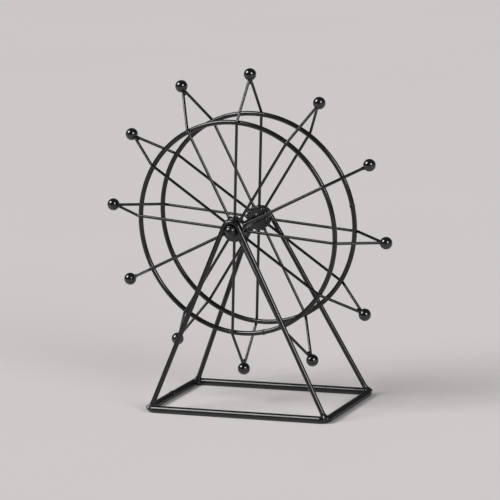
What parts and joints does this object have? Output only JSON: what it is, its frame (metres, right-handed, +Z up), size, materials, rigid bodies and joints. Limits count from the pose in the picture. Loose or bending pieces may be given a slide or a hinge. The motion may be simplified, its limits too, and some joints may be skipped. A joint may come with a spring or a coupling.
{
  "type": "ferris wheel ornament",
  "caption": "Wire ferris wheel ornament: two rings with paired spokes and ball tips turn freely on an axle between two wire A-frames on a rectangular base loop.",
  "frame": {"origin": "on the ground plane, below the middle of the wheel", "axes": "+Z up, +Y along the axle towards the back, the pictured front faces -Y"},
  "size_m": [0.22, 0.08, 0.2405],
  "materials": {
    "wire_paint": "semi-gloss black paint on iron wire",
    "turned_parts_paint": "semi-gloss black paint on turned steel",
    "ball_enamel": "gloss black enamel"
  },
  "bodies": {
    "stand": {"base_loop": "wire_paint", "front_a_frame": "wire_paint", "back_a_frame": "wire_paint", "front_collar": "turned_parts_paint", "back_collar": "turned_parts_paint", "axle": "turned_parts_paint", "front_axle_cap": "turned_parts_paint", "back_axle_cap": "turned_parts_paint"},
    "wheel": {"back_hub": "turned_parts_paint", "back_ring": "wire_paint", "back_spoke_01": "wire_paint", "back_spoke_02": "wire_paint", "back_spoke_03": "wire_paint", "back_spoke_04": "wire_paint", "back_spoke_05": "wire_paint", "back_spoke_06": "wire_paint", "back_spoke_07": "wire_paint", "back_spoke_08": "wire_paint", "back_spoke_09": "wire_paint", "back_spoke_10": "wire_paint", "back_spoke_11": "wire_paint", "back_spoke_12": "wire_paint", "balls": "ball_enamel", "front_hub": "turned_parts_paint", "front_ring": "wire_paint", "front_spoke_01": "wire_paint", "front_spoke_02": "wire_paint", "front_spoke_03": "wire_paint", "front_spoke_04": "wire_paint", "front_spoke_05": "wire_paint", "front_spoke_06": "wire_paint", "front_spoke_07": "wire_paint", "front_spoke_08": "wire_paint", "front_spoke_09": "wire_paint", "front_spoke_10": "wire_paint", "front_spoke_11": "wire_paint", "front_spoke_12": "wire_paint", "hub_tube": "turned_parts_paint"}
  },
  "joints": [
    {"name": "wheel_spin", "type": "hinge", "parent": "stand", "child": "wheel", "pos_m": [0, 0, 0.1305], "axis": [0, 1, 0], "continuous": true}
  ]
}
